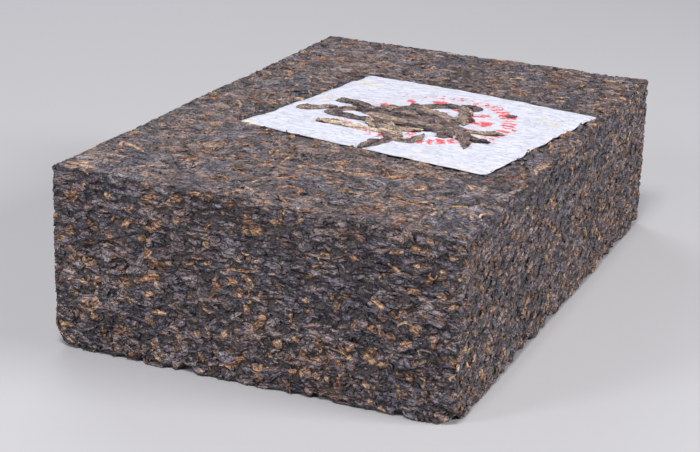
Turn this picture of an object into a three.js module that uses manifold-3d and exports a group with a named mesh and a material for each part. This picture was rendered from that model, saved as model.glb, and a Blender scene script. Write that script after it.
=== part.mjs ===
// A brick of pressed, aged tea leaves with a square paper ticket set into its top face and
// a tangle of leaves pressed over the ticket. Millimetres, +Z up. The brick rests on z = 0
// with its middle over the origin: its short faces look along -Y and +Y.
import * as THREE from 'three';
import { mergeVertices } from 'three/addons/utils/BufferGeometryUtils.js';
import Module from 'manifold-3d';

const wasm = await Module();
wasm.setup();

const brick = {
  width: 93, // along X
  length: 146, // along Y
  heightLeft: 41.4, // the top face at the -X side: the block was pressed slightly wedged
  heightRight: 40.2, // the top face at the +X side
  edgeRadius: 1.3,
  cell: 4.4, // size of one patch of the leafy surface
  relief: 0.42, // how far leaves stand out of or sink into a face
  rimChip: 1.3, // how deep the crumbled lower rim is bitten
  cornerLoss: 2.4, // leaf lost from the two lower front corners
  cornerReach: 5.5, // how far along the edges that loss is felt
};

const ticket = {
  width: 64, // along its own X
  depth: 60, // along its own Y
  thickness: 0.35,
  x: 8.2, // its middle, from the middle of the top face
  y: 3.8,
  turn: -8.3, // degrees about Z
  edgeWave: 0.35, // how far its torn-soft edge wanders
  below: 0.3, // its upper side lies this far under the leaf surface
};

const gap = 0.3; // clearance between solids that touch in the real brick
const leafThickness = 0.7;

// Each leaf over the ticket: its width and the points its middle line runs through, from
// the middle of the ticket.
const clusterLeaves = [
  { width: 4, along: [[-25, 0.8], [-20.5, 1.8], [-14, -1]] },
  { width: 3, along: [[-20.8, -10.5], [-19.3, -6], [-15, -1.5]] },
  { width: 3, along: [[-19.8, -11.4], [-15, -9.4], [-6, -10.4]] },
  { width: 2.7, along: [[-18.2, -17.2], [-10, -16.6], [1.5, -16.6]] },
  { width: 9, along: [[-16, -1.5], [-6, -1], [5, -4]] },
  { width: 3.6, along: [[-8, 0], [-4.4, 10], [4, 14.6]] },
  { width: 3, along: [[2, 16.8], [7, 8], [11, 0]] },
  { width: 1.8, along: [[3.5, 14.5], [6.5, 16.2], [7, 12]] },
  { width: 4.6, along: [[-6, 6], [3, 4], [11.5, 1]] },
  { width: 6.6, along: [[-4, -3.6], [5, -3.6], [14.5, -5]] },
  { width: 6, along: [[-13, -4.4], [-3, -7.4], [8, -6.6]] },
  { width: 6.6, along: [[-10, -8.4], [-1.5, -11.4], [6.4, -7.6]] },
  { width: 5, along: [[-7, -9], [-2.4, -14], [3.6, -18.4]] },
  { width: 2.6, along: [[0.5, -18], [6.6, -19], [6.8, -11.5]] },
  { width: 2, along: [[9.6, -11.6], [12, -9.6], [9, -4.6]] },
  { width: 3.4, along: [[9, -2], [14.6, -8], [19.8, -16.4]] },
  { width: 2, along: [[12.5, -4.6], [17, -2.6], [21, -1.4]] },
  { width: 2, along: [[13.4, -5], [17.6, -8.3], [22.4, -8]] },
  { width: 2.4, along: [[3.2, -17.5], [2, -24.4], [0.6, -28.8]] },
];
const looseLeaves = {
  leaf_curl_left: { width: 2.8, along: [[-28.8, -10.8], [-26, -8], [-21.8, -4.6]] },
  leaf_bit_right: { width: 1.5, along: [[15, 14.4], [16, 15.2], [17.2, 16.4]] },
};

const leafMaterial = (color) => new THREE.MeshStandardMaterial({ color, roughness: 0.75, metalness: 0 });
const paperMaterial = new THREE.MeshStandardMaterial({ color: 0xe6e8f2, roughness: 0.85, metalness: 0 });

const middleHeight = (brick.heightLeft + brick.heightRight) / 2;
const topSlope = (brick.heightRight - brick.heightLeft) / brick.width;
const topHeight = (x) => middleHeight + topSlope * x;

// Position-only copy of a geometry, with shared corners merged.
function welded(geometry) {
  const bare = geometry.clone();
  bare.deleteAttribute('normal');
  bare.deleteAttribute('uv');
  return mergeVertices(bare, 1e-4);
}

function toSolid(geometry) {
  const merged = welded(geometry);
  return new wasm.Manifold(new wasm.Mesh({
    numProp: 3,
    vertProperties: new Float32Array(merged.attributes.position.array),
    triVerts: new Uint32Array(merged.index.array),
  }));
}

function fromSolid(solid) {
  const mesh = solid.getMesh();
  const geometry = new THREE.BufferGeometry();
  geometry.setAttribute('position', new THREE.BufferAttribute(mesh.vertProperties, 3));
  geometry.setIndex(new THREE.BufferAttribute(mesh.triVerts, 1));
  geometry.computeVertexNormals();
  return geometry;
}

// Hills and hollows of pressed leaves, from -1 to 1: three crossed waves, each bent by
// the next, so that no row of them repeats.
function leafWaves(p) {
  const a = Math.sin(1.31 * p.x + 1.7 * Math.sin(0.47 * p.y + 0.3 * p.z));
  const b = Math.sin(1.13 * p.y - 1.5 * Math.sin(0.53 * p.z + 0.2 * p.x) + 1.1);
  const c = Math.sin(1.47 * p.z + 1.9 * Math.sin(0.41 * p.x - 0.37 * p.y) + 2.3);
  return (a + b + c) / 3;
}

// How much of the lower rim has crumbled away at a point, from 0 to 1.
function rimCrumble(p) {
  const bites = Math.sin(0.33 * p.x + 0.21 * p.y) + Math.sin(0.19 * p.x - 0.43 * p.y + 1.4);
  return Math.max(0, bites) / 2;
}

// How near a point is to one of the two lower front corners, from 0 to 1.
function cornerNearness(p) {
  const aside = brick.width / 2 - Math.abs(p.x);
  const ahead = p.y + brick.length / 2;
  const distance = Math.hypot(aside, ahead, p.z);
  return Math.exp(-((distance / brick.cornerReach) ** 2));
}

// The block before the ticket is let in: a box of small patches, its edges rounded, its
// faces pushed in and out by the leaf waves, its lower rim crumbled, its underside flat.
function pressedBlock() {
  const half = new THREE.Vector3(brick.width / 2, brick.length / 2, middleHeight / 2);
  const inner = half.clone().subScalar(brick.edgeRadius);
  const patches = [brick.width, brick.length, middleHeight].map((size) => Math.round(size / brick.cell));
  const geometry = welded(new THREE.BoxGeometry(brick.width, brick.length, middleHeight, ...patches));
  const corners = geometry.attributes.position;
  const point = new THREE.Vector3();
  for (let i = 0; i < corners.count; i += 1) {
    point.fromBufferAttribute(corners, i);
    const onUnderside = point.z < -half.z + 1e-3;
    const onRim = onUnderside
      && (Math.abs(point.x) > half.x - 1e-3 || Math.abs(point.y) > half.y - 1e-3);
    const core = point.clone().clamp(inner.clone().negate(), inner);
    const outward = point.clone().sub(core).normalize();
    const place = core.clone().addScaledVector(outward, brick.edgeRadius);
    place.z += half.z;
    const reach = brick.relief * (leafWaves(place) - 0.5);
    if (!onUnderside) place.addScaledVector(outward, reach);
    if (onUnderside && !onRim) place.z = 0;
    if (onRim) {
      place.z = brick.rimChip * rimCrumble(place);
      place.x -= Math.sign(outward.x) * place.z * 0.4;
      place.y -= Math.sign(outward.y) * place.z * 0.4;
    }
    if (!onUnderside || onRim) {
      const lost = brick.cornerLoss * cornerNearness(place);
      place.x -= Math.sign(place.x) * lost * 0.6;
      place.y += lost * 0.6;
      place.z += lost * 0.5;
    }
    place.z *= topHeight(place.x) / middleHeight;
    corners.setXYZ(i, place.x, place.y, place.z);
  }
  return geometry;
}

// The plane of the top face, carried by a group, so that what lies on it shares its tilt.
function onTopFace(child) {
  const face = new THREE.Group();
  face.position.z = middleHeight;
  face.rotation.y = -Math.atan(topSlope);
  face.add(child);
  return face;
}

// The same, turned and moved to the middle of the ticket.
function onTicket(...children) {
  const spot = new THREE.Group();
  spot.position.set(ticket.x, ticket.y, -ticket.below);
  spot.rotation.z = THREE.MathUtils.degToRad(ticket.turn);
  spot.add(...children);
  return onTopFace(spot);
}

// The shallow bed in the block that the ticket lies in.
function ticketBed() {
  const margin = 2 * (gap + ticket.edgeWave);
  const deep = 6;
  const bed = new THREE.BoxGeometry(ticket.width + margin, ticket.depth + margin, deep);
  bed.translate(0, 0, deep / 2 - ticket.thickness - gap);
  const holder = onTicket(new THREE.Mesh(bed));
  holder.updateMatrixWorld(true);
  const mesh = holder.children[0].children[0];
  bed.applyMatrix4(mesh.matrixWorld);
  return bed;
}

function brickNode() {
  const body = toSolid(pressedBlock()).subtract(toSolid(ticketBed()));
  const mesh = new THREE.Mesh(fromSolid(body), leafMaterial(0x54494a));
  mesh.name = 'brick';
  return mesh;
}

// A square of soft paper whose four edges wander a little in and out.
function ticketNode() {
  const steps = 16;
  const outline = [];
  const corners = [[-1, -1], [1, -1], [1, 1], [-1, 1]];
  corners.forEach(([fromX, fromY], side) => {
    const [toX, toY] = corners[(side + 1) % 4];
    for (let i = 0; i < steps; i += 1) {
      const t = i / steps;
      const ease = Math.sin(Math.PI * t);
      const wander = ticket.edgeWave * ease * Math.sin(side * 2.1 + 17 * t);
      const x = THREE.MathUtils.lerp(fromX, toX, t) * ticket.width / 2 + (toY - fromY) * wander / 2;
      const y = THREE.MathUtils.lerp(fromY, toY, t) * ticket.depth / 2 - (toX - fromX) * wander / 2;
      outline.push(new THREE.Vector2(x, y));
    }
  });
  const paper = new THREE.ExtrudeGeometry(new THREE.Shape(outline), {
    depth: ticket.thickness, bevelEnabled: false,
  });
  paper.translate(0, 0, -ticket.thickness);
  const mesh = new THREE.Mesh(paper, paperMaterial);
  mesh.name = 'ticket';
  return mesh;
}

// A flat twisted leaf: a drum whose length is led along a curve, with an oval section that
// swells at a third of the way and narrows to both ends.
function leafGeometry({ width, along }) {
  const line = new THREE.CatmullRomCurve3(along.map(([x, y]) => new THREE.Vector3(x, y, 0)));
  const drum = welded(new THREE.CylinderGeometry(1, 1, 1, 6, 8));
  const corners = drum.attributes.position;
  const bottom = gap + leafThickness / 2;
  for (let i = 0; i < corners.count; i += 1) {
    const t = corners.getY(i) + 0.5;
    const middle = line.getPoint(t);
    const heading = line.getTangent(t);
    const swell = 0.35 + 0.65 * Math.sin(Math.PI * Math.min(1, 0.08 + 0.92 * t ** 0.8));
    const aside = corners.getX(i) * swell * width / 2;
    const up = corners.getZ(i) * swell * leafThickness / 2;
    corners.setXYZ(i, middle.x + heading.y * aside, middle.y - heading.x * aside, bottom + up);
  }
  return drum;
}

function clusterNode() {
  const tangle = clusterLeaves.map((leaf) => toSolid(leafGeometry(leaf))).reduce((a, b) => a.add(b));
  const mesh = new THREE.Mesh(fromSolid(tangle), leafMaterial(0x4e4140));
  mesh.name = 'leaf_cluster';
  return mesh;
}

function looseLeafNodes() {
  return Object.entries(looseLeaves).map(([name, leaf]) => {
    const mesh = new THREE.Mesh(leafGeometry(leaf), leafMaterial(0x564a48));
    mesh.name = name;
    return mesh;
  });
}

const teaBrick = new THREE.Group();
teaBrick.add(brickNode());
teaBrick.add(onTicket(ticketNode(), clusterNode(), ...looseLeafNodes()));

export default teaBrick;
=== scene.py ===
import bpy
import numpy as np
from mathutils import Matrix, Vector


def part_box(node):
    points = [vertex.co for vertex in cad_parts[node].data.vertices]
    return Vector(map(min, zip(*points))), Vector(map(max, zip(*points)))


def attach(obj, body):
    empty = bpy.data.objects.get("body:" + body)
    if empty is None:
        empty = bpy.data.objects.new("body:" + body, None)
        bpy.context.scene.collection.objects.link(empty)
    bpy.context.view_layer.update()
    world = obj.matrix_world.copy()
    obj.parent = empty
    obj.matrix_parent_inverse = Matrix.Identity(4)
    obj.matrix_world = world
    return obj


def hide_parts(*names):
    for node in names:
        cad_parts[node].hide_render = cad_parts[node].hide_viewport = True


# A brick of pressed, aged tea leaf with a paper ticket let into its top face.
# Everything is worked out in millimetres and turned into metres when a mesh is made.

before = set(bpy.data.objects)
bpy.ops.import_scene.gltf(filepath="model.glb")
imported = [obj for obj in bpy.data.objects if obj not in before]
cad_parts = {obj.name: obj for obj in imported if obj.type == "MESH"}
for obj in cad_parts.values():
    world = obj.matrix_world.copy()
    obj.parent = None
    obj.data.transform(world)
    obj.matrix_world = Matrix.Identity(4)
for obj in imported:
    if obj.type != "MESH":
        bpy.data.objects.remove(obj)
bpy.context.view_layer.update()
mm = 0.001


def nodeBox(name):
    # A node's lowest and highest corner, in millimetres.
    return [np.array(corner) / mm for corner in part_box(name)]


blockLow, blockHigh = nodeBox("brick")
ticketLow, ticketHigh = nodeBox("ticket")

block = {
    "reliefOverFace": 0.15,  # how far the roughest leaves stand over the mould's plane
    "wedge": 1.2,  # the top face is this much lower at the right than at the left
    "edgeRadius": 0.6,
    "liftAtEdge": 0.25,  # share of its height that a leaf keeps at a face's edge
    "liftGrowth": 3.0,  # away from the edge, that share grows by 1 over this length
    "mouldWave": 0.22,  # slow unevenness of the mould faces
    "waveLength": 19.0,
    "rimChip": 1.6,  # depth of the bites in the lower rim
    "rimReach": 2.0,  # how far up the sides the crumbled rim is felt
    "biteSizes": (3.4, 1.4),
    "biteInward": 0.5,  # share of a bite's depth that also goes in from the side
    "biteBand": 2.0,  # how far in from the side it does so
    "cornerLoss": 1.5,  # leaf lost at the lower front corners
    "cornerReach": 3.4,
    "cornerInward": 0.6,
    "cornerUpward": 0.5,
}
half = (blockHigh - blockLow) / 2
half[:2] -= block["reliefOverFace"]
half[2] = (blockHigh[2] - block["reliefOverFace"] - block["wedge"] / 2) / 2
fullHeight = 2 * half[2]

# The faces in order: front, back, right, left, top and underside.
sideFaces = [0, 1, 2, 3]
topFace = 4
underFace = 5
acrossAxes = np.array([[1, 0, 0], [-1, 0, 0], [0, 1, 0], [0, -1, 0], [1, 0, 0], [-1, 0, 0]], float)
upAxes = np.array([[0, 0, 1], [0, 0, 1], [0, 0, 1], [0, 0, 1], [0, 1, 0], [0, 1, 0]], float)
outAxes = np.cross(acrossAxes, upAxes)
faceHalves = np.stack([np.abs(acrossAxes) @ half, np.abs(upAxes) @ half, np.abs(outAxes) @ half], 1)


def softNoise(points, size, seed):
    # Value noise from -1 to 1: a random number at each corner of a lattice of cells of the
    # given size, picked from a table by a hash of the corner's numbers, and blended inside a
    # cell by 3t^2 - 2t^3 along each axis.
    table = np.random.default_rng(seed).uniform(-1, 1, 4096)
    scaled = points / size
    cell = np.floor(scaled).astype(np.int64)
    t = scaled - cell
    t = t * t * (3 - 2 * t)
    total = np.zeros(points.shape[:-1])
    for corner in np.ndindex(2, 2, 2):
        at = cell + corner
        key = (at[..., 0] * 73856093 ^ at[..., 1] * 19349663 ^ at[..., 2] * 83492791) & 4095
        total += np.prod(np.where(corner, t, 1 - t), axis=-1) * table[key]
    return total


def pressedPlace(p):
    # The even box as the mould left it: slow waves on every face, a top that falls to the
    # right, a crumbled lower rim and worn lower front corners.
    p = p.copy()
    for axis in range(3):
        wave = block["mouldWave"] * softNoise(p, block["waveLength"], 40 + axis)
        p[..., axis] += wave * np.abs(p[..., axis]) / half[axis]
    p[..., 2] += half[2]
    toSide = np.minimum(half[0] - np.abs(p[..., 0]), half[1] - np.abs(p[..., 1]))
    nearSide = np.exp(-np.clip(toSide, 0, None) / block["rimReach"])
    nearRim = nearSide * np.exp(-(np.clip(p[..., 2], 0, None) / block["rimReach"]) ** 2)
    flatPlace = p * [1, 1, 0]
    large, small = block["biteSizes"]
    bites = np.clip(softNoise(flatPlace, large, 51) + 0.7 * softNoise(flatPlace, small, 52) + 0.1, 0, 1)
    chip = block["rimChip"] * bites * nearRim
    p[..., 2] += chip
    for axis in range(2):
        outer = half[axis] - np.abs(p[..., axis]) < block["biteBand"]
        p[..., axis] -= np.sign(p[..., axis]) * chip * block["biteInward"] * outer
    fromCorner = np.stack([half[0] - np.abs(p[..., 0]), p[..., 1] + half[1], p[..., 2]], -1)
    lost = block["cornerLoss"] * np.exp(-np.sum(fromCorner**2, -1) / block["cornerReach"] ** 2)
    p[..., 0] -= np.sign(p[..., 0]) * lost * block["cornerInward"]
    p[..., 1] += lost * block["cornerInward"]
    p[..., 2] += lost * block["cornerUpward"]
    p[..., 2] *= 1 - block["wedge"] * p[..., 0] / (2 * half[0] * fullHeight)
    p[..., 2] = np.maximum(p[..., 2], 0)
    return p


def ontoBlock(face, across, up, lift):
    # A point of a face's own plane, folded over the sharp edges of the box, then rounded:
    # the nearest point of an inner core plus (edge radius + lift) away from it. What stands
    # over the plane is lowered towards the face's edges.
    halves = faceHalves[face]
    toEdge = np.minimum(halves[..., 0] - np.abs(across), halves[..., 1] - np.abs(up))
    least = block["liftAtEdge"]
    lift = np.where(lift > 0, lift * np.clip(least + toEdge / block["liftGrowth"], least, 1), lift)
    overAcross = np.clip(np.abs(across) - halves[..., 0], 0, None)
    overUp = np.clip(np.abs(up) - halves[..., 1], 0, None)
    across = np.clip(across, -halves[..., 0], halves[..., 0])
    up = np.clip(up, -halves[..., 1], halves[..., 1])
    out = halves[..., 2] - overAcross - overUp
    sharp = (across[..., None] * acrossAxes[face] + up[..., None] * upAxes[face]
             + out[..., None] * outAxes[face])
    inner = half - block["edgeRadius"]
    core = np.clip(sharp, -inner, inner)
    away = sharp - core
    away /= np.maximum(np.linalg.norm(away, axis=-1, keepdims=True), 1e-6)
    return pressedPlace(core + away * (block["edgeRadius"] + lift[..., None]))


def makeMesh(name, points, corners, sizes, maps=None, values=None):
    # points in millimetres; corners are the faces' vertex numbers in one row, sizes says how
    # many belong to each face; maps is a place on the leaf or paper for each vertex.
    mesh = bpy.data.meshes.new(name)
    mesh.vertices.add(len(points))
    mesh.vertices.foreach_set("co", (points * mm).astype(np.float32).ravel())
    mesh.loops.add(len(corners))
    mesh.loops.foreach_set("vertex_index", corners.astype(np.int32))
    mesh.polygons.add(len(sizes))
    starts = np.cumsum(sizes) - sizes
    mesh.polygons.foreach_set("loop_start", starts.astype(np.int32))
    mesh.polygons.foreach_set("use_smooth", np.ones(len(sizes), bool))
    if maps is not None:
        layer = mesh.uv_layers.new(name="surfaceMap")
        layer.uv.foreach_set("vector", maps[corners].astype(np.float32).ravel())
    for label, amounts in (values or {}).items():
        attribute = mesh.attributes.new(label, "FLOAT", "POINT")
        attribute.data.foreach_set("value", amounts.astype(np.float32))
    mesh.update(calc_edges=True)
    mesh.validate()
    piece = bpy.data.objects.new(name, mesh)
    bpy.context.scene.collection.objects.link(piece)
    return piece


def onBody(piece, slotName, *nodes):
    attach(piece, "root")
    if nodes:
        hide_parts(*nodes)
    return piece


# ---- where leaves lie

ticket = {
    "width": 64.0,
    "depth": 60.0,
    "turn": -8.3,
    "sink": 0.1,  # the paper lies this far under the mould's plane
    "thickness": 0.12,
    "raggedness": 0.35,  # how far its outline wanders
    "cells": (104, 98),  # of its grid, across and up
    # Rows of height, cell size and how much finer the print is from front to back.
    "rumples": [(0.13, 6.0, 1.0), (0.11, 3.0, 2.0), (0.035, 1.2, 1.8)],
    "borderSink": 0.15,
    "overlap": (0.2, 1.4),  # leaves of the brick reach over its border by up to these
}
ticketMiddle = (ticketLow + ticketHigh) / 2
ticketTurn = np.radians(ticket["turn"])


def onTicket(x, y):
    # A place on the ticket, turned by its angle and moved to its middle.
    return (ticketMiddle[0] + x * np.cos(ticketTurn) - y * np.sin(ticketTurn),
            ticketMiddle[1] + x * np.sin(ticketTurn) + y * np.cos(ticketTurn))


def insideTicket(across, up):
    # How far inside the ticket's outline a place of the top face is; negative outside.
    x = across - ticketMiddle[0]
    y = up - ticketMiddle[1]
    own = x * np.cos(ticketTurn) + y * np.sin(ticketTurn)
    side = y * np.cos(ticketTurn) - x * np.sin(ticketTurn)
    return np.minimum(ticket["width"] / 2 - np.abs(own), ticket["depth"] / 2 - np.abs(side))


variety = {
    "looseness": 0.8,  # of the leaves halfway up the sides
    "loosenessFall": 0.45,  # how much less it is at the top, and more at the lower rim
    "tightRelief": 0.35,  # share of its relief that a leaf of the sides has, however tight
    "looseRelief": 0.6,  # and what looseness adds to it
    "faceStep": 50.0,  # sets the noise of one face apart from the next face's
    "warmthPatch": 8.0,
    "sideSwing": 0.35,  # how far the patches of warmth go on the sides and on the top
    "topSwing": 0.75,
    "topWarmth": 0.15,
    "warmthSpread": 0.35,
    "tonePatch": 6.0,
    "toneSwing": 0.3,
    "widthSpread": 0.3,
    "least": 0.45,  # smallest share of the usual length or width
    "longest": 2.3,  # largest share of the usual length
    "widest": 2.0,  # largest share of the usual width
    "mapSpread": 60.0,  # each leaf takes its grain from its own place on a square this wide
}
leafForm = {
    "firstRing": 0.05,  # its place along the leaf; the last is as far from the other end
    "ringSpread": 0.13,  # how far the rings stray, about in ring steps
    "raggedRange": (0.35, 1.7),
    "endDrop": 0.8,  # how far the ends sink, in thicknesses
    "softness": 0.08,  # of the ceiling
    "shadeDepthStart": 0.04,  # painted shade: a leaf starts to darken this far down
    "shadeDepthRange": 0.34,  # and is darkest this much further down
}


def scatter(rng, perFace):
    # One place in each cell of an even grid on every face, moved at random inside the cell.
    found = []
    for face, count in enumerate(perFace):
        wide, high = 2 * faceHalves[face, 0], 2 * faceHalves[face, 1]
        columns = max(1, int(round(np.sqrt(count * wide / high))))
        rows = max(1, int(round(count / columns)))
        column, row = np.meshgrid(np.arange(columns), np.arange(rows))
        across = (column + rng.uniform(0, 1, column.shape)) / columns - 0.5
        up = (row + rng.uniform(0, 1, row.shape)) / rows - 0.5
        found.append(np.stack([np.full(column.size, face), across.ravel() * wide, up.ravel() * high]))
    face, across, up = np.concatenate(found, 1)
    order = rng.permutation(len(face))
    return face[order].astype(int), across[order], up[order]


def planLeaves(rng, kind):
    # Draws each leaf's place, heading, size, height and curl from the kind's own ranges.
    # Leaves on the sides lie mostly level, because the brick is pressed from above, and
    # flatter and more evenly towards the top than towards the lower rim.
    face, across, up = scatter(rng, kind["perFace"])
    wanted = kind["where"](face, across, up)
    keep = rng.uniform(0, 1, len(face)) < wanted
    face, across, up = face[keep], across[keep], up[keep]
    count = len(face)
    onSide = face < topFace
    height = up / faceHalves[face, 1]
    loosen = np.where(onSide, variety["looseness"] - variety["loosenessFall"] * height, 1)
    level = rng.normal(0, np.radians(kind["sideSpread"]), count) * loosen
    free = rng.uniform(-np.pi, np.pi, count)
    loose = rng.uniform(0, 1, count) < kind["looseShare"] * loosen
    heading = np.where(onSide & ~loose, level + np.pi * rng.integers(0, 2, count), free)
    flat = np.where(onSide, kind["sideWidth"], kind["topWidth"])
    stretch = np.where(onSide, 1.0, kind["topLength"])
    place = np.stack([across, up, face * variety["faceStep"]], -1)
    swing = np.where(onSide, variety["sideSwing"], variety["topSwing"])
    warmth = kind["warmth"] + swing * softNoise(place, variety["warmthPatch"], 71)
    warmth = warmth + rng.uniform(-variety["warmthSpread"], variety["warmthSpread"], count)
    warmth = warmth + np.where(onSide, 0.0, variety["topWarmth"])
    tone = rng.uniform(0.1, 0.9, count) + variety["toneSwing"] * softNoise(place, variety["tonePatch"], 72)
    length = rng.lognormal(np.log(kind["length"]), kind["lengthSpread"], count)
    width = rng.lognormal(np.log(kind["width"]), variety["widthSpread"], count)
    relief = variety["tightRelief"] + variety["looseRelief"] * loosen
    plan = {
        "face": face,
        "across": across,
        "up": up,
        "heading": heading,
        "length": stretch * np.clip(
            length, kind["length"] * variety["least"], kind["length"] * variety["longest"]),
        "width": flat * np.clip(
            width, kind["width"] * variety["least"], kind["width"] * variety["widest"]),
        "lift": rng.uniform(kind["lift"][0], kind["lift"][1], count),
        "curl": rng.normal(0, kind["curl"], count),
        "tilt": rng.normal(0, kind["tilt"], (2, count)),
        "tone": np.clip(tone, 0, 1),
        "warmth": np.clip(warmth, 0, 1),
        "relief": np.where(onSide, relief, kind["topRelief"]),
    }
    if "curlRange" in kind:
        turned = rng.uniform(*np.radians(kind["curlRange"]), count)
        plan["curl"] = turned * rng.choice([-1, 1], count)
    return plan


def leafPoints(rng, plan, kind):
    # A leaf is a flattened tube along an arc: the middle line turns evenly by the leaf's
    # curl, the half width is (1 - |2s-1|^3)^blunt with its own ragged edge on each side, and
    # the section is a low dome. Its surface carries lengthwise folds, one height for each
    # column of points, and a crumple, one height for each point; it is twisted a little
    # along its length and held under a soft ceiling, a little over the mould's plane.
    count = len(plan["face"])
    rings = kind["rings"]
    section = np.array(kind["section"])  # rows of (place across from -1 to 1, share of the drop)
    columns = len(section)
    s = np.linspace(leafForm["firstRing"], 1 - leafForm["firstRing"], rings)[None, :, None]
    s = s + rng.normal(0, leafForm["ringSpread"] / rings, (count, rings, 1))
    s = np.concatenate([np.zeros((count, 1, 1)), s, np.ones((count, 1, 1))], 1)
    length = plan["length"][:, None, None]
    curl = np.where(np.abs(plan["curl"]) < 1e-3, 1e-3, plan["curl"])[:, None, None]
    angle = curl * (s - 0.5)
    along = length * np.sin(angle) / curl
    aside = length * (1 - np.cos(angle)) / curl
    aside -= length * (1 - np.cos(curl / 2)) / curl / 2
    fullness = (1 - np.abs(2 * np.clip(s, 0, 1) - 1) ** 3) ** kind["blunt"]
    c = section[:, 0][None, None, :]
    drop = section[:, 1][None, None, :]
    ragged = 1 + kind["ragged"] * rng.normal(0, 1, (2, count, rings + 2, 1))
    ragged = np.clip(ragged, *leafForm["raggedRange"])
    reach = plan["width"][:, None, None] / 2 * fullness * np.where(c > 0, ragged[0], ragged[1])
    x = along - np.sin(angle) * c * reach
    y = aside + np.cos(angle) * c * reach
    onTop = drop < 1  # all but the section's two edges
    crumple = kind["crumple"] * rng.normal(0, 1, (count, rings + 2, columns)) * onTop
    fold = kind["fold"] * rng.normal(0, 1, (count, 1, columns)) * onTop
    phase = rng.uniform(0, 2 * np.pi, (count, 1, 1))
    twist = kind["twist"] * c * reach * np.sin(2 * np.pi * s * kind["turns"] + phase)
    endDrop = kind["thickness"] * leafForm["endDrop"] * (1 - fullness)
    tiltAlong, tiltAside = plan["tilt"][:, :, None, None]
    rise = crumple + fold + twist + tiltAlong * x + tiltAside * y
    relief = plan["relief"][:, None, None]
    lift = plan["lift"][:, None, None] - kind["thickness"] * drop - endDrop + rise * relief
    ceiling, soft = kind["ceiling"], leafForm["softness"]
    lift = ceiling - soft * np.logaddexp(0, (ceiling - lift) / soft)
    turn = plan["heading"][:, None, None]
    across = plan["across"][:, None, None] + x * np.cos(turn) - y * np.sin(turn)
    up = plan["up"][:, None, None] + x * np.sin(turn) + y * np.cos(turn)
    mapAlong = np.broadcast_to(s * length, x.shape)
    mapAside = np.broadcast_to(c * reach, x.shape)
    # Painted shade: 1 at the leaf's edges and ends, where it dips into the cracks between leaves.
    rim = np.broadcast_to(np.maximum(np.abs(c), np.abs(2 * s - 1) ** 4), x.shape)
    return across, up, lift, mapAlong, mapAside, rim


def tubeFaces(count, rings, around):
    # Vertex numbers of closed tubes laid out ring by ring, with one vertex at each end:
    # four-sided faces between rings and a fan of triangles to each end.
    own = rings * around + 2
    ring, step = np.meshgrid(np.arange(rings - 1), np.arange(around), indexing="ij")
    follow = (step + 1) % around
    quads = np.stack([ring * around + step, (ring + 1) * around + step,
                      (ring + 1) * around + follow, ring * around + follow], -1).reshape(-1, 4)
    step = np.arange(around)
    follow = (step + 1) % around
    last = (rings - 1) * around
    first = np.stack([np.full(around, own - 2), step, follow], -1)
    final = np.stack([last + step, np.full(around, own - 1), last + follow], -1)
    pattern = np.concatenate([quads.ravel(), first.ravel(), final.ravel()])
    sizes = np.concatenate([np.full(len(quads), 4), np.full(2 * around, 3)])
    corners = (np.arange(count)[:, None] * own + pattern[None, :]).ravel()
    return corners, np.tile(sizes, count)


def gather(grid):
    # Ring points first, then the two end points, leaf by leaf.
    body = grid[:, 1:-1].reshape(grid.shape[0], -1, *grid.shape[3:])
    ends = grid[:, [0, -1]].mean(2)
    return np.concatenate([body, ends], 1).reshape(-1, *grid.shape[3:])


def clearTicket(rng, plan, across, up):
    # Which leaves stay clear of the ticket, but for a millimetre or so at its border.
    deepest = insideTicket(across, up).max((1, 2))
    return (plan["face"] != topFace) | (deepest < rng.uniform(*ticket["overlap"], len(deepest)))


def layLeaves(name, rng, plan, kind, slotName, node):
    across, up, lift, mapAlong, mapAside, rim = leafPoints(rng, plan, kind)
    if kind["clearsTicket"]:
        keep = clearTicket(rng, plan, across, up)
        across, up, lift, mapAlong, mapAside, rim = [
            grid[keep] for grid in (across, up, lift, mapAlong, mapAside, rim)]
        plan = {key: value[..., keep] for key, value in plan.items()}
    face = np.broadcast_to(plan["face"][:, None, None], across.shape)
    points = gather(ontoBlock(face, across, up, lift))
    count = len(plan["face"])
    offset = rng.uniform(0, variety["mapSpread"], (2, count, 1, 1))
    maps = gather(np.stack([mapAlong + offset[0], mapAside + offset[1]], -1))
    perLeaf = kind["rings"] * len(kind["section"]) + 2
    values = {label: np.repeat(plan[label], perLeaf) for label in ("tone", "warmth")}
    # Painted shade at the rim and where the leaf lies deep, standing in for the shade in the cracks.
    values["rim"] = gather(rim)
    values["depth"] = np.clip((-gather(lift) - leafForm["shadeDepthStart"]) / leafForm["shadeDepthRange"], 0, 1)
    corners, sizes = tubeFaces(count, kind["rings"], len(kind["section"]))
    piece = makeMesh(name, points, corners, sizes, maps, values)
    print(f"{name}: {count} leaves, {int((sizes - 2).sum())} triangles")
    return onBody(piece, slotName, node)


def makeLeaves(name, kind, seed):
    rng = np.random.default_rng(seed)
    return layLeaves(name, rng, planLeaves(rng, kind), kind, "pressed_leaf", "brick")


def everywhere(face, across, up):
    return np.ones(len(face))


crumbPlaces = {
    "sideLeast": 0.12,  # share of the places that are taken at the top of the sides
    "top": 0.7,
}


def crumbShare(face, across, up):
    # Small chips lie mostly towards the lower rim.
    side = np.clip(0.5 - 0.5 * up / faceHalves[face, 1], crumbPlaces["sideLeast"], 1)
    return np.where(face < topFace, side, crumbPlaces["top"])


goldenPlaces = {
    "patch": 9.0,
    "side": 0.62,  # share of the places that are taken halfway up the sides
    "sideFall": 0.34,  # how much less at the top, and more at the lower rim
    "sidePatches": 0.35,
    "edge": 0.35,  # how much more at the upright edges
    "edgeReach": 5.0,
    "sideLeast": 0.06,
    "top": 0.7,
    "topPatches": 0.8,
    "topLeast": 0.08,
}


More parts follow.
